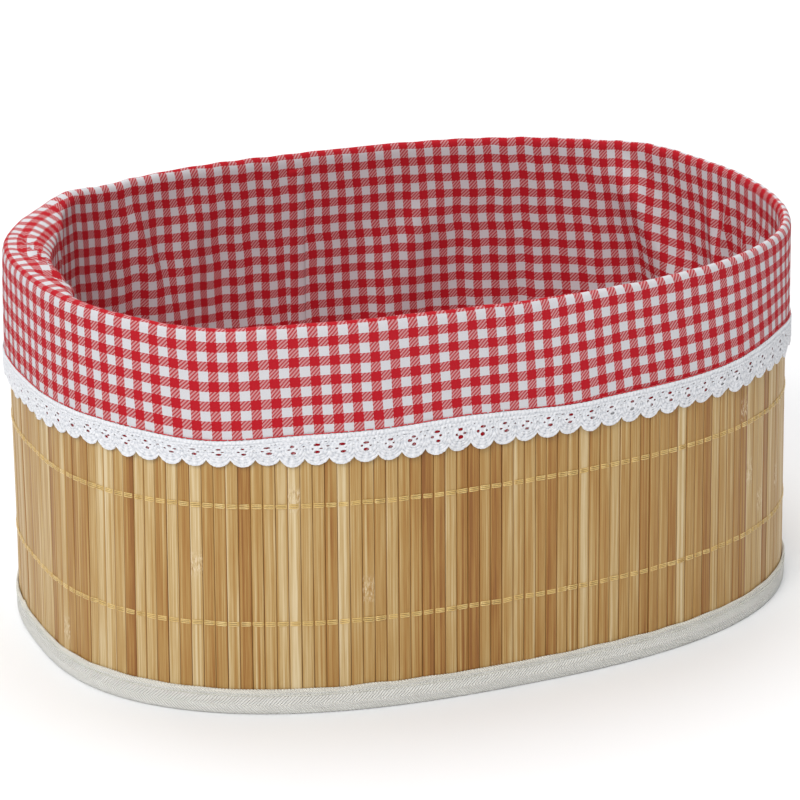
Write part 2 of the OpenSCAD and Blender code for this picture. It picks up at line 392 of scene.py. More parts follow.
# Base colours, linear, from a shade's low end to its high end.
BAMBOO_TONES = (
    (0.0, (0.23, 0.085, 0.013)), (0.2, (0.32, 0.147, 0.028)), (0.45, (0.395, 0.226, 0.063)),
    (0.7, (0.485, 0.325, 0.13)), (1.0, (0.64, 0.51, 0.3)))
BAMBOO_EDGE, NODE_FRAY, NODE_SPECK = (0.25, 0.11, 0.03, 1), (0.72, 0.6, 0.42, 1), (0.27, 0.12, 0.04, 1)
GOLD_TONES = ((0.2, (0.42, 0.24, 0.05)), (0.5, (0.66, 0.45, 0.14)), (0.8, (0.86, 0.66, 0.28)))
TAPE_TONES = ((0.15, (0.78, 0.765, 0.69)), (0.5, (0.92, 0.91, 0.85)), (0.85, (0.97, 0.965, 0.93)))
# the selvedge colour also carries a painted highlight on the tape's upper edge
SELVEDGE_AND_HIGHLIGHT = (0.94, 0.9, 0.78, 1)
# the lace's darker tones are painted shade in the grooves between its yarns
LACE_GROOVE_SHADED_TONES = ((0.15, (0.43, 0.45, 0.5)), (0.42, (0.67, 0.685, 0.72)), (0.8, (0.82, 0.825, 0.85)))
WIRE_TONES = ((0.3, (0.42, 0.42, 0.42)), (0.7, (0.6, 0.6, 0.59)))
TAPE_THREAD_TONES = ((0.3, (0.55, 0.54, 0.46)), (0.7, (0.74, 0.73, 0.66)))
RED_THREAD_TONES = ((0.3, (0.5, 0.012, 0.02)), (0.7, (0.72, 0.04, 0.05)))
# the checks' darker ends are partly the fluff's tone and partly painted shade between the threads
CHECK_REDS = ((0.15, (0.33, 0.006, 0.011)), (0.85, (0.56, 0.011, 0.023)))
CHECK_WHITES = ((0.15, (0.5, 0.495, 0.515)), (0.85, (0.7, 0.69, 0.715)))
MIXED_RED, MIXED_WHITE = (0.4, 0.036, 0.042, 1), (0.53, 0.185, 0.19, 1)
FLOOR_TONES = ((0.3, (0.87, 0.875, 0.885)), (0.7, (0.89, 0.895, 0.905)))


def bamboo_material():
    """Split bamboo: a tone for each slat, fibres and bands along it, brown edges, pale frayed nodes."""
    m = Shader("bamboo", 0.45, Specular_IOR_Level=0.4)
    across, up = m.uv()
    own = m.node("SeparateColor", {0: m.node("Attribute", attribute_name="tone").outputs[0]})
    tone, seed, node_height = own.outputs[0], own.outputs[1], own.outputs[2]
    offset = m.times(seed, 40.0)
    fibre = m.grain((across, 20.0), (up, 34.0), 3.0, offset, 0.6)
    streak = m.grain((across, 4.2), (up, 5.0), 1.0, offset)
    cloud = m.grain((across, 1.0), (up, 28.0), 2.0, offset)
    shade = m.times_plus(m.centred(fibre), 1.0, tone)
    shade = m.times_plus(m.centred(streak), 1.15, shade)
    shade = m.times_plus(m.centred(cloud), 0.35, shade)
    edge = m.rescaled(m.math("ABSOLUTE", across), 0.44, 0.495, 0.0, 1.0)
    colour = m.mix(m.times(edge, 0.85), m.ramp(shade, BAMBOO_TONES), BAMBOO_EDGE)
    near = m.band(up, node_height, 0.002, 0.005)
    frayed = m.grain((across, 9.0), (up, 420.0), 3.0, offset, 0.7)
    fray = m.rescaled(frayed, 0.5, 0.62, 0.0, 1.0)
    speck = m.rescaled(frayed, 0.36, 0.42, 1.0, 0.0)
    colour = m.mix(m.times(m.times(near, fray), 0.75), colour, NODE_FRAY)
    m.colour(m.mix(m.times(m.times(near, speck), 0.6), colour, NODE_SPECK))
    m.rough(m.times_plus(fibre, 0.25, 0.36))
    height = m.times_plus(m.times(near, frayed), 1.5, m.plus(fibre, streak))
    m.bump(height, 0.35, 0.00012)
    return m.material


def gold_material():
    """Shiny twisted thread."""
    m = Shader("gold_thread", 0.32, Specular_IOR_Level=0.75, Sheen_Weight=0.25)
    u, v = m.uv()
    twist = m.math("SINE", m.times(m.plus(u, m.times(v, 1.6)), 9000.0))
    uneven = m.grain((u, 260.0), (v, 1.0), 2.0)
    m.colour(m.ramp(m.times_plus(twist, 0.03, uneven), GOLD_TONES))
    m.bump(twist, 0.15, 0.0001)
    return m.material


def tape_material():
    """Cotton tape in a herringbone twill: slanting ribs that turn at each zone, and a cream upper edge that
    is partly selvedge colour and partly painted highlight.
    """
    rib, zone = 1.4 * MM, 4.4 * MM
    m = Shader("cotton_tape", 0.9, Sheen_Weight=0.25)
    u, v = m.uv()
    loose = m.grain((u, 90.0), (v, 300.0), 3.0)
    slant = m.times_plus(loose, rib * 1.2, m.plus(u, m.math("PINGPONG", v, zone)))
    ribs = m.math("SINE", m.times(slant, 2 * math.pi / rib))
    yarn = m.grain((u, 2200.0), (v, 2200.0), 2.0)
    shade = m.times_plus(ribs, 0.15, m.times_plus(yarn, 0.6, m.times(loose, 0.4)))
    # painted highlight: the rounded upper edge is lightened, together with its cream selvedge colour
    selvedge_and_highlight = m.band(v, FOOT_TAPE_TOP, 1.1 * MM, 0.3 * MM)
    m.colour(m.mix(m.times(selvedge_and_highlight, 0.7), m.ramp(shade, TAPE_TONES), SELVEDGE_AND_HIGHLIGHT))
    m.bump(m.times_plus(yarn, 0.7, m.times(ribs, 1.3)), 0.9, 0.00035)
    return m.material


def cotton_material(name, tones):
    """Plain cotton yarn: fine uneven twist."""
    m = Shader(name, 0.92, Sheen_Weight=0.3)
    u, v = m.uv()
    yarn = m.grain((u, 2200.0), (v, 2200.0), 3.0)
    m.colour(m.ramp(yarn, tones))
    m.bump(yarn, 0.5, 0.00015)
    return m.material


def lace_material():
    """White crochet cotton, with painted shade that makes it greyer between its raised yarns."""
    m = Shader("lace_cotton", 0.92, Sheen_Weight=0.3)
    u, v = m.uv()
    # painted shade: the point colours hold the lace's relief, and its low places get the darker tones
    raised = m.node("Attribute", attribute_name="tone").outputs["Fac"]
    yarn = m.grain((u, 1900.0), (v, 1900.0), 3.0, roughness=0.7)
    m.colour(m.ramp(m.times_plus(m.centred(yarn), 0.7, raised), LACE_GROOVE_SHADED_TONES))
    m.bump(yarn, 0.8, 0.0003)
    return m.material


def wire_material():
    """Drawn steel wire with fine lines along it."""
    m = Shader("drawn_wire", 0.35, Metallic=1.0)
    u, v = m.uv()
    drawn = m.grain((u, 60.0), (v, 5000.0), 2.0)
    m.colour(m.ramp(drawn, WIRE_TONES))
    m.rough(m.times_plus(drawn, 0.25, 0.25))
    return m.material


def gingham_material():
    """Twill-woven checks: each crossing shows its warp or its weft thread, red or white, with painted shade
    darkening each thread towards its edges.
    """
    m = Shader("gingham", 0.9, Specular_IOR_Level=0.2)
    u, v = m.uv()

    def threads(place, seed):
        """A number that goes up by one from thread to thread, whose lines drift a little."""
        drift = m.times(m.centred(m.grain((u, 90.0), (v, 90.0), 1.0, seed)), 0.9 * MM)
        return m.times(m.plus(place, drift), 2 * THREADS_IN_CHECK / CHECK_PERIOD)

    def is_red(thread):
        place_in_period = m.math("WRAP", m.math("FLOOR", thread), 2 * THREADS_IN_CHECK, 0.0)
        return m.math("LESS_THAN", place_in_period, THREADS_IN_CHECK - 0.5)

    def crown(thread):
        return m.math("SINE", m.times(m.math("FRACT", thread), math.pi))

    warp, weft = threads(u, 0.0), threads(v, 7.3)
    relief = m.times(crown(warp), crown(weft))
    crossing = m.math("WRAP", m.math("SUBTRACT", m.math("FLOOR", warp), m.math("FLOOR", weft)), TWILL, 0.0)
    red_on_top = m.math("LESS_THAN", crossing, TWILL / 2 - 0.5)  # where a red thread crosses a white one
    warp_red, weft_red = is_red(warp), is_red(weft)
    mixed = m.math("ABSOLUTE", m.math("SUBTRACT", warp_red, weft_red))
    red = m.times_plus(mixed, red_on_top, m.times(warp_red, weft_red))
    fluff = m.grain((u, 3000.0), (v, 3000.0), 2.0)
    # painted shade: each thread is lighter at its crown and darker towards its edges, mixed with the fluff's
    # own tone
    fluff_and_thread_shade = m.times_plus(relief, 0.4, m.times(fluff, 0.6))
    reds = m.mix(m.times(mixed, 0.8), m.ramp(fluff_and_thread_shade, CHECK_REDS), MIXED_RED)
    whites = m.mix(m.times(mixed, 0.8), m.ramp(fluff_and_thread_shade, CHECK_WHITES), MIXED_WHITE)
    m.colour(m.mix(red, whites, reds))
    m.bump(relief, 0.4, 0.00014)
    return m.material


def floor_material():
    """A pale floor, very slightly uneven in tone."""
    m = Shader("floor", 0.85, Specular_IOR_Level=0.1)
    place = m.node("TexCoord").outputs["Object"]
    m.colour(m.ramp(m.noise(place, 2.0, 3.0), FLOOR_TONES))
    return m.material


# The foot tape's section, (out, z), from its upper edge at the slats, under the base and up the front.
FOOT_TAPE_SECTION = MM * np.array([
    (0.12, 10.8), (0.2, 1.2), (-0.4, 0.85), (-12.0, 0.8), (-12.1, 0.4), (-12.0, 0.0), (-6.0, 0.0),
    (-1.0, 0.0), (0.1, 0.06), (0.62, 0.35), (0.95, 0.95), (1.05, 1.8), (1.1, 3.2), (1.1, 4.6), (1.08, 6.0),
    (1.04, 7.2), (0.98, 7.9), (0.95, 8.4), (0.98, 8.9), (1.02, 9.6), (1.0, 10.3), (0.88, 10.75),
    (0.62, 11.0), (0.3, 11.0)])
FOOT_TAPE_TOP = float(around(FOOT_TAPE_SECTION)[-4])  # walk round the section to its front upper edge

FINISHES = {
    "bamboo": bamboo_material(),
    "gold_thread": gold_material(),
    "cotton_tape": tape_material(),
    "tape_thread": cotton_material("tape_thread", TAPE_THREAD_TONES),
    "steel_wire": wire_material(),
    "gingham": gingham_material(),
    "seam_thread": cotton_material("red_thread", RED_THREAD_TONES),
    "lace": lace_material()}


# ---- Bamboo slats ----

def slat_section(width, gap):
    """One slat's section, (across, out), from its back corner round its flat face."""
    half = width / 2 - 0.02 * MM
    edge = half - 0.5 * gap
    corner = [(half, -0.5 * MM), (half - 0.3 * gap, -0.26 * MM), (edge - 0.05 * MM, -0.08 * MM)]
    face = [(edge - 0.28 * MM, 0.01 * MM), (half * 0.45, 0.04 * MM), (0.0, 0.05 * MM)]
    side = [(half - 0.08 * MM, -SLAT_THICK), (half, -SLAT_THICK * 0.85)] + corner + face
    return np.array([(-x, out) for x, out in side] + [(x, out) for x, out in side[-2::-1]])


def slat_faces(sides, long, section_u):
    """A slat's quads and their UVs, with its two ends closed by strips of quads."""
    quads, steps = lattice(SLAT_RINGS, sides, False, True)
    along_slat = np.linspace(0, 1, SLAT_RINGS) * long
    uv = np.stack([section_u[steps[..., 1]], along_slat[steps[..., 0]]], -1)
    strip = np.arange(sides // 2 - 1)
    end = np.stack([strip, strip + 1, sides - 2 - strip, sides - 1 - strip], 1)
    ends = np.concatenate([end, end[:, ::-1] + (SLAT_RINGS - 1) * sides])
    end_uv = np.stack([section_u[ends % sides], along_slat[ends // sides]], -1)
    return np.concatenate([quads[:, ::-1], ends]), np.concatenate([uv[:, ::-1], end_uv])


def slats_piece(name, longs, place, width, seed):
    """One slat for each length, as one piece. place(i, height, across, out) gives 3-D points of slat i."""
    rng = np.random.default_rng(seed)
    points, quads, uvs, tones = [], [], [], []
    for i, long in enumerate(longs):
        section = slat_section(width, rng.choice(SLAT_GAPS))
        t = np.linspace(0, 1, SLAT_RINGS)[:, None]
        bend = 0.03 * MM * np.sin(2 * np.pi * (t * rng.uniform(0.5, 1.6) + rng.random()))
        twist = rng.normal(0, 0.014) + rng.normal(0, 0.014) * (t - 0.5)
        across = section[:, 0] + bend
        out = section[:, 1] + twist * section[:, 0] + 0.09 * MM * rng.normal()
        grid = place(i, np.broadcast_to(t * long, across.shape), across, out)
        section_u = np.append(section[:, 0], section[0, 0]) / width
        faces, uv = slat_faces(len(section), long, section_u)
        quads.append(faces + i * across.size)
        uvs.append(uv)
        points.append(grid.reshape(-1, 3))
        tones.append(np.tile([slat_tone(rng), rng.random(), node_place(rng), 1], (across.size, 1)))
    return mesh_piece(name, *(np.concatenate(part) for part in (points, quads, uvs, tones)))


def slat_tone(rng):
    """Mostly tan, some straw-coloured and a few orange-brown."""
    kind = rng.random()
    if kind < 0.12:
        return rng.uniform(0.2, 0.34)
    if kind < 0.45:
        return rng.uniform(0.64, 0.82)
    return rng.uniform(0.42, 0.62)


def node_place(rng):
    """The height of a slat's node ring, which on most slats is past its end."""
    return rng.uniform(0.0, 0.6)


def wall_slats():
    """The upright slats of the wall, panel by panel."""
    low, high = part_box("wall_slats_01")
    longs = [high.z - low.z] * SLATS_IN_PANEL
    for panel in range(PANELS):
        def place(i, height, across, out, panel=panel):
            share = (panel * SLATS_IN_PANEL + i + 0.5) / SLATS
            point, normal = on_oval(np.array(share))
            tangent = np.array([-normal[1], normal[0]])
            z = height + low.z
            level = out - z * LEAN - settled(share, z)
            return lifted(point + level[..., None] * normal + across[..., None] * tangent, z)
        piece = slats_piece(f"slats_{panel + 1:02d}", longs, place, PERIMETER / SLATS, 100 + panel)
        dress(piece, "basket", [f"wall_slats_{panel + 1:02d}"], "bamboo")


def base_slats():
    """The mat of slats that is the base."""
    inset = SLAT_THICK + 0.5 * MM
    gap = 0.45 * MM
    for panel in range(BASE_PANELS):
        name = f"base_slats_{panel + 1:02d}"
        low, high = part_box(name)
        count = round((high.x - low.x) / BASE_PITCH)
        middles = low.x + (BASE_PITCH - gap) / 2 + np.arange(count) * BASE_PITCH
        reach = oval_reach(abs(middles) + BASE_PITCH / 2, HALF_WIDTH - inset, HALF_LENGTH - inset) - 1.5 * MM

        def place(i, height, across, out, middles=middles, reach=reach, low=low):
            x = middles[i] + across
            return np.stack([x, height - reach[i], np.broadcast_to(low.z - out, x.shape)], -1)
        piece = slats_piece(f"floor_slats_{panel + 1:02d}", 2 * reach, place, BASE_PITCH, 300 + panel)
        dress(piece, "basket", [name], "bamboo")


# ---- Threads ----

def woven_row(name, node, seed):
    """Three strands flat over each slat outside, pinched into the gaps, and one broad strand inside."""
    low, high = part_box(node)
    middle = (low.z + high.z) / 2
    steps = SLATS * 16
    share = np.arange(steps) / steps
    over = np.minimum(1, 1.9 * abs(np.sin(np.pi * share * SLATS)))
    rng = np.random.default_rng(seed)
    slip = wander(share, rng, 0.1 * MM)
    grids = []
    for strand in (-1, 0, 1):
        out = -0.8 * MM + 1.0 * MM * over ** 0.7 + wander(share, rng, 0.03 * MM)
        z = middle + slip + wander(share, rng, 0.04 * MM) + strand * (0.4 + 0.32 * over) * MM
        grids.append(strand_grid(share, out, z, 0.27 * MM))
    inside = -SLAT_THICK + 0.3 * MM - 0.62 * MM * over
    grids.append(strand_grid(share, inside, middle + slip, 0.75 * MM, flat=0.35))
    piece = joined(name, grids, [strand_uv(steps, 1.7 * MM)] * len(grids), True)
    dress(piece, "basket", [node], "gold_thread")


def wander(share, rng, size):
    """A small shift that differs from slat to slat."""
    return np.interp(share * SLATS, np.arange(SLATS + 1), rng.normal(0, size, SLATS + 1), period=SLATS)


def base_rows():
    """Strands above and below the base slats, dipping into the gaps between them."""
    low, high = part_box("base_threads")
    rows = (-78 * MM, -26 * MM, 26 * MM, 78 * MM)
    margin = 14 * MM
    radius = 0.26 * MM
    turn = np.arange(6) / 6 * 2 * np.pi
    grids, uvs = [], []
    for y in rows:
        reach = oval_reach(abs(y) + 1.1 * MM, HALF_LENGTH - margin, HALF_WIDTH - margin)
        x = np.linspace(-reach, reach, int(2 * reach / BASE_PITCH) * 6)
        over = abs(np.cos(np.pi * x / BASE_PITCH))
        for side, face in ((-1, low.z + 0.3 * MM), (1, high.z - 0.3 * MM)):
            centre = face + side * 0.28 * MM * (1.6 * over ** 0.4 - 0.9)
            for strand in (-1, 0, 1):
                shift = y + strand * (0.35 + 0.3 * over) * MM
                across = shift[:, None] - side * radius * np.cos(turn)
                height = centre[:, None] + radius * np.sin(turn)
                grid = np.stack(np.broadcast_arrays(x[:, None], across, height), -1)
                grids.append(grid[:, ::-side])
                uvs.append(pairs(x, np.arange(7) / 6 * 1.6 * MM))
    dress(joined("floor_threads", grids, uvs, False), "basket", ["base_threads"], "gold_thread")


# ---- Tape, hoops and stitches ----

def foot_wobble(share, out, z):
    """The outer band is uneven, drawn in by its stitches, looped along its top and folded at its end."""
    upper = ease_mm(1, 5, z)
    top = ease_mm(9.6, 10.8, z)
    outward = 0.14 * MM * wave(share, 12, 60, 5) * upper
    drawn = bell(z - TAPE_STITCH_Z, 0.5 * MM) * 0.16 * MM
    drawn = drawn * (0.6 + 0.4 * np.cos(2 * np.pi * share * FOOT_STITCHES))
    loops = abs(np.sin(np.pi * share * EDGE_LOOPS)) * 0.16 * MM * top
    end = hump(share, TAPE_END, 2.6)
    outside = (out > 0.4 * MM) * 1.0
    upward = 0.18 * MM * wave(share, 8, 50, 6) * ease_mm(6, 11, z) + loops + 1.2 * MM * end * top
    return (outward - drawn + loops + 0.8 * MM * end * upper) * outside, upward


def foot_tape():
    """The tape round the foot, folded under the base."""
    piece = swept_band("foot_binding", FOOT_TAPE_SECTION, 4 * EDGE_LOOPS, 0.0, foot_wobble)
    dress(piece, "basket", ["foot_tape"], "cotton_tape")


def stitch_row(name, count, out, z, lean, radius=0.22 * MM, rise=None):
    """A row of stitches: one thread that comes up for each stitch and dips between them."""
    steps = count * 10
    share = np.arange(steps) / steps
    lift = abs(np.sin(np.pi * share * count))
    depth = out - 0.55 * MM + 0.62 * MM * np.minimum(1, lift * 2.2)
    height = np.full(steps, z) + 0.06 * MM * wave(share, 30, 120, count)
    if rise is not None:
        height = height + rise(share)
    return strand_piece(name, share, depth, height, radius, 1.4 * MM, lean=lean)


def foot_stitches():
    """The line of stitches near the foot tape's upper edge."""
    piece = stitch_row("foot_stitches", FOOT_STITCHES, TAPE_FACE + 0.02 * MM, TAPE_STITCH_Z, 0.0)
    dress(piece, "basket", ["foot_tape_stitch"], "tape_thread")


def hem_stitches():
    """The red line of stitches just above the lace."""
    z = LACE_TOP_Z + 0.45 * MM
    piece = stitch_row("hem_stitches", 280, 1.95 * MM, z, LEAN, 0.2 * MM, lace_rise)
    return dress(piece, "liner", ["cuff_hem_stitch"], "seam_thread")


def hoop(name, node, radius):
    """A wire round the oval."""
    low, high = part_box(node)
    steps, sides = 720, 12
    out = np.full(steps, high.x - radius - HALF_LENGTH)
    middle = np.full(steps, (low.z + high.z) / 2)
    share, girth = np.arange(steps) / steps, 2 * math.pi * radius
    piece = strand_piece(name, share, out, middle, radius, girth, sides, 0.0)
    dress(piece, "basket", [node], "steel_wire")


def inner_tape():
    """The tape over the corner inside, from the wall down to the base."""
    floor, top = (corner.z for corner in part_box("foot_inner_tape"))
    back = -SLAT_THICK - 0.35 * MM
    outer = [(back, top), (back, 7.6 * MM), (back - 1.4 * MM, 5.7 * MM), (back - 3.4 * MM, floor + 1.7 * MM),
             (back - 5.4 * MM, floor + 0.3 * MM), (back - 7.5 * MM, floor + 0.02 * MM), (-12 * MM, floor)]
    inner = [(-12 * MM, floor + 0.6 * MM), (back - 7.6 * MM, floor + 0.6 * MM),
             (back - 5.7 * MM, floor + 0.85 * MM), (back - 3.8 * MM, floor + 2.2 * MM),
             (back - 1.9 * MM, 6.1 * MM), (back - 0.6 * MM, 7.8 * MM), (back - 0.6 * MM, top)]
    piece = swept_band("corner_binding", np.array(outer + inner)[::-1], 384, 0.0)
    dress(piece, "basket", ["foot_inner_tape"], "cotton_tape")


def rim_tape():
    """The tape folded over the slats' upper ends and the hoop, and its stitches."""
    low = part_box("rim_tape")[0].z
    hoop_low, hoop_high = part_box("rim_hoop")
    centre_z = (hoop_low.z + hoop_high.z) / 2
    centre = -SLAT_THICK / 2
    shoulder = centre_z - 3 * MM
    thick = 0.5 * MM
    outside = 0.16 * MM
    inside = -SLAT_THICK - 0.12 * MM

    def arc(radius):
        turn = np.radians(np.arange(0, 181, 30))
        return [(centre + radius * math.cos(a), centre_z + radius * math.sin(a)) for a in turn]

    down = [(inside - thick, shoulder), (inside - thick, low + 0.1 * MM), (inside, low), (inside, shoulder)]
    up = [(outside, shoulder), (outside, low), (outside + thick, low + 0.1 * MM), (outside + thick, shoulder)]
    piece = swept_band("rim_binding", np.array(arc(1.5 * MM) + down + arc(1.03 * MM)[::-1] + up), 576)
    dress(piece, "basket", ["rim_tape"], "cotton_tape")
    face = outside + thick + 0.05 * MM
    thread = stitch_row("rim_stitches", 300, face, low + 2.2 * MM, LEAN, 0.16 * MM)
    dress(thread, "basket", ["rim_tape_stitch"], "tape_thread")


def join_tape():
    """The tape that closes the wall mat on the inside at the back."""
    low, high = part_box("wall_join_tape")
    across = np.linspace(-10, 10, 13) * MM
    height = np.linspace(low.z, high.z, 40)
    ripple = 0.08 * MM * np.sin(across[:, None] * 900 + height * 160)
    points = wall(BACK + across[:, None] / PERIMETER, -SLAT_THICK - 0.8 * MM + ripple, height[None, :])
    piece = grid_piece("join_binding", points, pairs(across, height)[..., ::-1])
    solidify(piece, 0.4 * MM)
    dress(piece, "basket", ["wall_join_tape"], "cotton_tape")


# ---- Liner ----

# Where the real rim and lace stand above or below level: middle share, half width and height in mm.
LEVEL = 0.4  # mm that the rim and the lace stand above the CAD's, away from these rises
RIM_RISES = (
    (0.612, 28, -2.3), (0.71, 30, 0.7), (0.378, 15, 2.6), (0.31, 50, 0.8), (0.07, 20, 1.3), (0.0, 25, 0.8),
    (0.43, 16, -0.6))
LACE_TOP_RISES = ((0.612, 27, -2.8), (0.722, 26, 1.6), (0.772, 14, -0.5), (0.9, 30, 3.6))
LACE_TIP_RISES = ((0.605, 16, -0.8), (0.553, 16, 0.8), (0.9, 28, 1.2))

# Folds in the hanging cloth: middle share at the rim, sideways mm for each mm down, half widths in mm
# on the lower and the higher share's side, height in mm, and the depths in mm where it starts and ends.
DEEP_FOLDS = (
    (0.088, -0.75, 7, 20, 8.5, 3, 110), (0.028, -0.3, 4, 7, 3.2, 4, 90), (0.003, 0.2, 3, 4, 2.6, 2, 70),
    (-0.013, 0.1, 3, 3, 2.2, 6, 80), (-0.035, 0.3, 4, 4, 2.4, 8, 90), (0.3, 0.15, 8, 12, 2.2, 10, 120),
    (0.345, -0.35, 5, 7, 2.6, 6, 100), (0.6, 0.3, 9, 9, 3.4, 12, 120), (0.68, -0.2, 12, 8, 3.0, 18, 130),
    (0.79, 0.25, 9, 12, 3.4, 15, 120), (0.87, -0.4, 7, 10, 4.0, 8, 120), (0.18, 0.2, 12, 8, 3.2, 20, 130))
# Creases that run over the fold at the left end: middle share, slant, half width, height, all as above.
CREASES = (
    (0.422, 2.8, 6.5, 2.6), (0.441, 2.2, 4.2, -1.7), (0.458, 1.6, 6.0, 2.7), (0.479, 1.0, 4.2, -1.6),
    (0.497, 0.3, 5.5, 2.5), (0.522, -0.4, 4.5, -1.3), (0.394, 0.6, 5.0, -1.5))
SHELF_MIDDLE, SHELF_HALF, SHELF_DEEP = 0.462, 66 * MM, 15.5 * MM


def lace_rise(share):
    """Rise of the lace's top edge."""
    return bumps(share, LEVEL, LACE_TOP_RISES)


def lace_level(share, down):
    """Rise of the lace and the cuff behind it, down mm below the lace's top edge."""
    low = ease(0, 10, down)
    return lace_rise(share) * (1 - low) + bumps(share, LEVEL, LACE_TIP_RISES) * low


def shelf(share):
    """How far the loose cloth at the left end lies in over the edge of the basket."""
    return SHELF_DEEP * np.exp(-(apart(share, SHELF_MIDDLE) / SHELF_HALF) ** 4)


def hanging_folds(share, depth):
    """How far the hanging cloth stands in from the wall: the deep folds and seeded small ones."""
    total = np.zeros(np.broadcast(share, depth).shape)
    for middle, slant, left, right, tall, start, end in DEEP_FOLDS:
        off = apart(share, middle) - slant * depth
        half = np.where(off < 0, left, right) * MM * (0.7 + 0.6 * ease_mm(0, 80, depth))
        grown = ease_mm(start, start + 22, depth)
        faded = 1 - ease_mm(end - 45, end, depth)
        total += tall * MM * bell(off, half) * (grown * faded)
    rng = np.random.default_rng(77)
    for _ in range(34):
        middle, slant = rng.random(), rng.normal(0, 0.15)
        wide, tall = rng.uniform(5, 12) * MM, rng.uniform(0.5, 2.0) * MM
        top = rng.uniform(8, 60) * MM
        off = apart(share, middle) - slant * (depth - top)
        total += tall * bell(off, wide) * ease(top, top + 35 * MM, depth)
    total *= 0.2 + 0.8 * ease_mm(5, 20, abs(apart(share, BACK)))  # the seam keeps it flat
    return total * (0.2 + 0.8 * (1 - ease_mm(128, 156, depth)))


def creases(share, walk):
    """Height of the creases that cross the fold at the left end, walk metres in from the fold's top."""
    total = np.zeros(np.broadcast(share, walk).shape)
    for middle, slant, half, tall in CREASES:
        off = apart(share, middle) - slant * walk
        start = 0.5 * MM if tall > 0 else 5 * MM  # a hollow starts past the rim tape
        reach = ease(start, start + 9 * MM, walk) * (1 - ease_mm(22, 42, walk))
        total += tall * MM * bell(off, half * MM) * reach
    return total


def cuff_swell(share, below):
    """Slow waves in the turned-down cuff, growing below the rim."""
    slow = 0.3 * MM * wave(share, 5, 22, 41) * ease_mm(2, 16, below)
    return slow + 0.12 * MM * wave(share, 30, 80, 42) * ease_mm(12, 40, below)


def liner_profile():
    """The cloth strip from its foot seam up the inside, over the rim and down to the hem.

    Gives the (out, z) points, the walk along them, and each point's share of the inside: 1 on the
    inner wall, falling to 0 over the fold.
    """
    inside = -6.0 * MM
    foot = [(-8.6 * MM, LINER_FOOT_Z + 0.5 * MM), (-7.6 * MM, LINER_FOOT_Z + 2.2 * MM),
            (-6.6 * MM, LINER_FOOT_Z + 5 * MM)]
    inner = [(inside, z) for z in np.linspace(LINER_FOOT_Z + 9 * MM, FOLD_Z, 70)]
    outer = CUFF_OUT - FOLD_Z * LEAN
    middle, half = (inside + outer) / 2, (outer - inside) / 2
    rise = RIM_Z - FOLD_Z - CLOTH_THICK / 2
    turn = np.linspace(math.pi, 0, 21)[1:-1]
    fold = [(middle + half * math.cos(a), FOLD_Z + rise * math.sin(a)) for a in turn]
    cuff = [(CUFF_OUT - z * LEAN, z) for z in np.linspace(FOLD_Z, HEM_Z, 34)]
    profile = np.array(foot + inner + fold + cuff)
    walked = walked_along(profile)
    inward = np.concatenate([np.ones(len(foot) + len(inner)), (1 - np.cos(turn)) / 2, np.zeros(len(cuff))])
    return profile, walked, inward


def cloth_walk(points, walked, inward):
    """How far each point is up the cloth from its hem, following the loose cloth's own length inside."""
    length = np.linalg.norm(np.diff(points, axis=1), axis=-1)
    spare = (length - np.diff(walked)) * (inward[1:] > 0)
    extra = np.cumsum(spare[:, ::-1], axis=1)[:, ::-1]
    return walked[-1] - walked + np.concatenate([extra, 0 * extra[:, :1]], axis=1)


def liner_points(share, profile, walked, inward):
    """The cloth's points for shares (n, 1) and the profile's points."""
    out, z = profile[:, 0][None], profile[:, 1][None]
    inward = inward[None]
    below = np.maximum(RIM_Z - z, 0)
    on_cuff = (inward < 0.001) * 1.0
    rim = ease_mm(45, 0, below)
    held = 0.75 * ease_mm(25, 120, below) * inward
    loose = shelf(share) * ease(0.3, 1, inward) * (1 - held)
    folds = hanging_folds(share, below) * (inward == 1)
    sunk = shelf(share) * 0.3 * ease(0.6, 1, inward) * ease_mm(20, 0, below)
    at_hem = lace_level(share, (LACE_TOP_Z - z) / MM) * on_cuff
    level = bumps(share, LEVEL, RIM_RISES) * rim + at_hem * (1 - rim)
    level = level + 0.12 * MM * wave(share, 20, 90, 43) * ease_mm(8, 0, below)
    swell = cuff_swell(share, below) * on_cuff
    points = wall(share, out - loose - folds + swell, z + level - sunk, 0.0)
    normals = np.cross(np.gradient(points, axis=1), np.roll(points, -1, 0) - np.roll(points, 1, 0))
    normals /= np.linalg.norm(normals, axis=-1, keepdims=True) + 1e-12
    up = cloth_walk(points, walked, inward[0])
    top = walked[-1] - np.interp(0.5, inward[0, ::-1], walked[::-1])
    return points - creases(share, up - top)[..., None] * normals


def smoothed(rows, half):
    """Rows round the oval blurred by a bell of the given half width in metres."""
    turns = np.fft.fftfreq(len(rows), 1 / len(rows))
    kept = np.exp(-(np.pi * turns * half / PERIMETER) ** 2)
    return np.real(np.fft.ifft(np.fft.fft(rows, axis=0) * kept[:, None], axis=0))


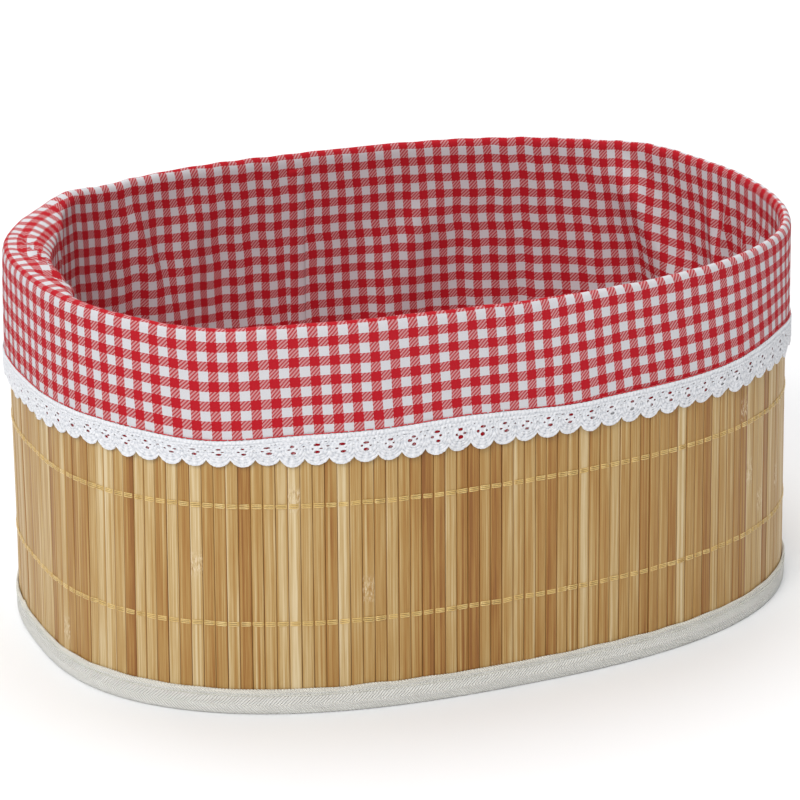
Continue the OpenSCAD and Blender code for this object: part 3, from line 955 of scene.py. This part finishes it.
def cloth_uv(share, points, walked, inward):
    """UVs in metres that follow the cloth's own length, so its checks keep their size over folds.

    The checks also shift and slant a little round the oval, as the photo shows.
    """
    up = cloth_walk(points, walked, inward)
    share = share[:, :1] + 0 * up
    step = np.linalg.norm(np.diff(points, axis=0), axis=-1)
    spare = step - smoothed(step, 30 * MM)
    followed = np.concatenate([np.zeros((1, len(walked))), np.cumsum(spare, axis=0)])
    right_end = 1 - ease(0.9, 1.0, share)
    stretch = -1.5 * MM * ease(0.69, 0.76, share) - 4.5 * MM * ease(0.76, 0.88, share)
    slant = 0.05 + 0.07 * ease(0.74, 0.82, share) - 0.07 * ease(0.9, 1.0, share)
    inside = np.maximum(up - 56 * MM, 0)
    sideways = 0.12 * hump(share, 0.05, 70) * inside
    across = share * PERIMETER + followed + slant * up + stretch * right_end + sideways - 2.0 * MM
    rows = -2.1 * MM * (ease(0.735, 0.8, share) + 1 - ease(0.08, 0.28, share))
    pulled = ease(0.27, 0.36, share) * (1 - ease(0.5, 0.57, share))  # drawn in over the rim
    rows = rows + 3.0 * MM * pulled * ease(0, 0.5, inward[None])
    turned = 4.0 * MM * (up < LACE_TOP_Z - HEM_Z - 2 * MM)  # the hem behind the lace is turned up
    return np.stack([across, up + rows + FIRST_ROW - turned], -1)


def liner():
    """The liner's cloth; also gives its profile's lines."""
    strip = liner_profile()
    share = np.arange(CLOTH_STEPS + 1)[:, None] / CLOTH_STEPS
    points = liner_points(share[:-1], *strip)
    closed = np.concatenate([points, points[:1]])
    piece = grid_piece("liner_cloth", points, cloth_uv(share, closed, *strip[1:]), True)
    solidify(piece, CLOTH_THICK)
    dress(piece, "liner", ["liner_wall", "liner_rim_fold", "liner_cuff"], "gingham")
    return piece, strip


def liner_seam(profile, walked, inward):
    """The flat seam that closes the strip at the back, inside."""
    rows = (walked > 12 * MM) & (inward == 1) & (profile[:, 1] < FOLD_Z - 1 * MM)
    across = np.linspace(-4, 4, 9) * MM
    share = BACK + across[:, None] / PERIMETER
    points = liner_points(share, profile, walked, inward)[:, rows]
    normals = on_oval(share[:, 0])[1]
    raised = 0.42 * MM * np.array([0.1, 0.8, 1, 1, 0.9, 1, 1, 0.8, 0.1])
    points[..., :2] -= (raised[:, None] * normals)[:, None, :]
    uv = pairs(across[::-1] + PERIMETER / 4 + 2 * MM, walked[-1] - walked[rows] + FIRST_ROW)
    piece = grid_piece("liner_side_seam", points[::-1], uv)
    solidify(piece, 0.3 * MM)
    return dress(piece, "liner", ["liner_wall_seam"], "gingham")


def liner_bottom():
    """The oval of cloth at the bottom, puckered where it is sewn to the wall."""
    u, v = np.meshgrid(np.linspace(-1, 1, 121), np.linspace(-1, 1, 91), indexing="ij")
    dx, dy = u * np.sqrt(1 - v * v / 2), v * np.sqrt(1 - u * u / 2)
    angle, radius = np.arctan2(dy * HALF_WIDTH, dx * HALF_LENGTH), np.hypot(dx, dy)
    edge, normals = superellipse(angle)
    xy = (edge - FLOOR_INSET * normals) * radius[..., None]
    share = np.interp(angle % (2 * np.pi), WALK_ANGLE, WALK) / PERIMETER
    pucker = 0.35 * MM * wave(share, 40, 90, 51) * ease(0.86, 1.0, radius)
    soft = 0.5 * MM * np.sin(xy[..., 0] * 38 + 1.2) * np.sin(xy[..., 1] * 52 + 0.4)
    soft = soft * (1 - ease(0.75, 1.0, radius))
    points = lifted(xy, LINER_FOOT_Z + 0.75 * MM + pucker + soft)
    piece = grid_piece("liner_floor", points, xy + 0.5)
    solidify(piece, CLOTH_THICK)
    dress(piece, "liner", ["liner_bottom"], "gingham")


def bottom_seam():
    """The rolled seam between the liner's bottom and its wall."""
    share = np.arange(CLOTH_STEPS) / CLOTH_STEPS
    out = np.full(CLOTH_STEPS, -9.3 * MM) + 0.1 * MM * wave(share, 40, 120, 61)
    z = np.full(CLOTH_STEPS, LINER_FOOT_Z + 1.4 * MM) + 0.1 * MM * wave(share, 40, 120, 62)
    piece = strand_piece("liner_floor_seam", share, out, z, 0.6 * MM, 3.8 * MM, 8, 0.0)
    dress(piece, "liner", ["liner_bottom_seam"], "gingham")


# ---- Lace ----

# The pattern's holes in mm: across from the scallop's middle, down from the top, half width, half height.
LACE_HOLES = (
    (-0.1, 4.4, 1.15, 0.5), (-1.8, 5.9, 0.62, 0.42), (1.65, 5.7, 0.55, 0.36), (0.25, 7.3, 1.1, 0.66),
    (-3.5, 3.2, 0.62, 0.2), (3.3, 3.1, 0.62, 0.2), (4.7, 4.9, 0.7, 0.22))
HOLE_CHANGES = ((1.0,), (0.8,), (0.7,), (0.35,))  # how freely each of the four differs between scallops
HOLE_LEAST = ((-5.0,), (3.0,), (0.4,), (0.18,))
COLUMNS, LACE_ROWS = 28, 37  # columns of points in a scallop, and rows down the lace
HEADING_ROW, SCALLOP_ROW = 6, 24


def hole_distance(x, y, hole):
    """1 on a hole's edge, and less inside it."""
    hole_x, hole_y, half_wide, half_tall = hole
    return np.sqrt(((x - hole_x) / half_wide) ** 2 + ((y - hole_y) / half_tall) ** 2)


def cut_hole(holes, x, y, quads, middles, face_scallop):
    """Tells which faces lie in a hole, and pulls the points round it onto its edge."""
    inside = hole_distance(*middles, holes[:, face_scallop]) < 1
    edge = np.intersect1d(quads[inside], quads[~inside])
    own = holes[:, edge // (LACE_ROWS * COLUMNS)]
    near = hole_distance(x[edge], y[edge], own) + 1e-6
    fits = (near > 0.5) & (near < 2.2)
    for place, hole_middle in ((x, own[0]), (y, own[1])):
        place[edge] = np.where(fits, hole_middle + (place[edge] - hole_middle) / near, place[edge])
    return inside


def scallop_depth(x):
    """Lower edge of the lace below its top edge, in mm; x runs -0.5 to 0.5 over one scallop."""
    return 9.2 + 3.75 * (1 - abs(2 * x) ** 2.1) ** 0.62 + 0.12 * abs(np.sin(7 * np.pi * x))


def lace():
    """The crochet trim on the cuff's hem, as three pieces: heading, mesh and scallops."""
    steps = SCALLOPS * COLUMNS
    rng = np.random.default_rng(9)
    scallop = np.arange(steps) // COLUMNS
    x = (np.arange(steps) % COLUMNS + 0.5) / COLUMNS - 0.5
    taller = rng.normal(0, 0.18, SCALLOPS)[scallop]
    curl = rng.normal(0, 0.28, SCALLOPS)[scallop]
    edge = scallop_depth(x) + taller * (1 - abs(2 * x) ** 2)
    down = np.linspace(0, 1, LACE_ROWS)[None] * edge[:, None]
    across = np.broadcast_to((x * SCALLOP_PITCH)[:, None], down.shape).copy()
    flat_x, flat_y = across.reshape(-1), down.reshape(-1)
    quads, places = lattice(steps, LACE_ROWS, True, False)
    corner_x = flat_x[quads]
    corner_x = np.where(corner_x - corner_x[:, :1] < -SCALLOP_PITCH / 2, corner_x + SCALLOP_PITCH, corner_x)
    middles = corner_x.mean(1), flat_y[quads].mean(1)
    open_face = np.zeros(len(quads), bool)
    for hole in LACE_HOLES:
        holes = np.array(hole)[:, None] + rng.normal(0, 0.2, (4, SCALLOPS)) * HOLE_CHANGES
        holes = np.maximum(holes, HOLE_LEAST)
        open_face |= cut_hole(holes, flat_x, flat_y, quads, middles, places[:, 0, 0] // COLUMNS)
    relief = lace_relief(across, down, edge[:, None]) + uneven(rng, down.shape, 0.08)
    share = (scallop[:, None] + 0.5) / SCALLOPS + across * MM / PERIMETER
    hang = ease(7.5, 13, down)
    out = 2.15 * MM + relief * MM - 0.75 * MM * hang + curl[:, None] * MM * hang
    loose = 0.2 * MM * wave(share, 20, 70, 71) * ease(6, 12, down)
    out = out + cuff_swell(share, RIM_Z - LACE_TOP_Z) + loose
    teeth = 0.16 * MM * abs(np.sin(2 * np.pi * share * SCALLOPS * 2)) * (down < 0.3)
    points = wall(share, out, LACE_TOP_Z - down * MM + lace_level(share, down) + teeth)
    uv = strip_uv(steps, np.linspace(0, 13 * MM, LACE_ROWS))
    # painted shade: the relief goes into the point colours, which the lace's finish makes greyer in the
    # grooves
    tones = np.repeat(np.clip(relief.reshape(-1, 1) + 0.5, 0, 1), 4, axis=1)
    row = places[:, 0, 1]
    parts = (("lace_chain", "lace_heading", row < HEADING_ROW),
             ("lace_openwork", "lace_mesh", (row >= HEADING_ROW) & (row < SCALLOP_ROW)),
             ("lace_edge", "lace_scallops", row >= SCALLOP_ROW))
    pieces = []
    for name, node, rows in parts:
        keep = rows & ~open_face
        corner_uv = uv[places[keep][..., 0], places[keep][..., 1]]
        piece = mesh_piece(name, points, quads[keep][:, ::-1], corner_uv[:, ::-1], tones)
        solidify(piece, 0.42 * MM)
        pieces.append(dress(piece, "liner", [node], "lace"))
    return pieces


def uneven(rng, shape, size):
    """Random relief about two points wide."""
    rough = rng.normal(0, 1, shape)
    for axis in (0, 1):
        rough = (rough + np.roll(rough, 1, axis)) / math.sqrt(2)
    return size * rough


def lace_relief(x, y, edge):
    """Height of the crochet's yarns in mm: chains, fans of ribs and a corded edge."""
    bead = np.cos(2 * np.pi * 6 * x / SCALLOP_PITCH)
    high, low = 0.45 + 0.55 * bead, 0.45 - 0.55 * bead
    chains = 0.3 * bell(y - 0.7, 0.55) * high + 0.24 * bell(y - 2.4, 0.4) * low
    grooves = 0.13 * bell(y - 1.65, 0.25) * (1 - bead) + 0.12 * bell(y - 3.15, 0.3) * (1 + bead)
    angle, radius = np.arctan2(x, y - 5.6), np.hypot(x, y - 5.6)
    fan = 0.14 * np.cos(11 * angle) * ease(2.4, 3.6, radius) * ease(0.1, 1.2, edge - y)
    rows = 0.12 * np.cos(2 * np.pi * radius / 1.25) * ease(2.0, 3.0, radius)
    cord = 0.26 * bell(edge - y - 0.5, 0.42) * (0.7 + 0.3 * np.cos(26 * angle))
    rims = sum(0.16 * bell(hole_distance(x, y, (*place, wide + 0.3, tall + 0.3)) - 1, 0.3)
               for *place, wide, tall in LACE_HOLES)
    return chains - grooves + (fan + rows) * ease(3.0, 4.2, y) + cord + rims


# ---- Stage: camera, floor and light ----

# The camera, turned round the basket from straight in front; the lens is for a 36 mm sensor.
CAMERA_TURN = math.radians(24.7)
CAMERA_TILT = math.radians(19.96)
CAMERA_AWAY = 1.5136
CAMERA_LENS = 157.6
AIM = Vector((0.0073, 0.0, 0.08))
CAMERA_SHIFT = (-0.0233, 0.0121)
# Each lamp's name, place, width in metres and power in watts.
LAMPS = (("key", (-1.4, -1.4, 1.7), 1.2, 33), ("top", (0.2, 0.9, 2.8), 2.6, 58))
SKY_LIGHT = 0.52
FLOOR_HALF = 12.0


def camera():
    """The camera at the photo's angle."""
    made = bpy.data.cameras.new("camera")
    made.lens, made.sensor_width = CAMERA_LENS, 36
    made.shift_x, made.shift_y = CAMERA_SHIFT
    made.clip_start, made.clip_end = 0.05, 20
    holder = bpy.data.objects.new("camera", made)
    bpy.context.scene.collection.objects.link(holder)
    turn = Matrix.Rotation(-CAMERA_TURN, 4, "Z")
    back = Vector((0, -math.cos(CAMERA_TILT), math.sin(CAMERA_TILT)))
    holder.matrix_world = turn @ Matrix.Translation(AIM + back * CAMERA_AWAY) @ Matrix.Rotation(
        math.pi / 2 - CAMERA_TILT, 4, "X")
    bpy.context.scene.camera = holder


def stage():
    """A pale floor and soft, even studio light."""
    corners = FLOOR_HALF * np.array([[-1, -1, 0], [1, -1, 0], [1, 1, 0], [-1, 1, 0]])
    floor = mesh_piece("floor", corners, np.array([[0, 1, 2, 3]]))
    floor.data.materials.append(floor_material())
    world = bpy.data.worlds.new("studio")
    world.use_nodes = True
    sky = world.node_tree.nodes["Background"]
    sky.inputs[0].default_value = (1, 1, 1, 1)
    sky.inputs[1].default_value = SKY_LIGHT
    bpy.context.scene.world = world
    for name, place, width, power in LAMPS:
        lamp = bpy.data.lights.new(name, "AREA")
        lamp.shape, lamp.size, lamp.energy = "SQUARE", width, power
        holder = bpy.data.objects.new(name, lamp)
        holder.location = place
        toward = Vector((0, 0, 0.08)) - Vector(place)
        holder.rotation_euler = toward.to_track_quat("-Z", "Y").to_euler()
        bpy.context.scene.collection.objects.link(holder)
    bpy.context.scene.view_settings.view_transform = "Standard"


# ---- Making it ----

camera()
stage()
wall_slats()
base_slats()
for row_number, row_name in enumerate(("low", "middle", "high")):
    woven_row(f"threads_{row_name}", f"wall_thread_{row_name}", 200 + row_number)
base_rows()
foot_tape()
foot_stitches()
hoop("foot_wire", "foot_hoop", 1.25 * MM)
hoop("rim_wire", "rim_hoop", 1.0 * MM)
inner_tape()
rim_tape()
join_tape()
cloth, cloth_lines = liner()
side_seam = liner_seam(*cloth_lines)
liner_bottom()
bottom_seam()
hem_thread = hem_stitches()
lace_pieces = lace()
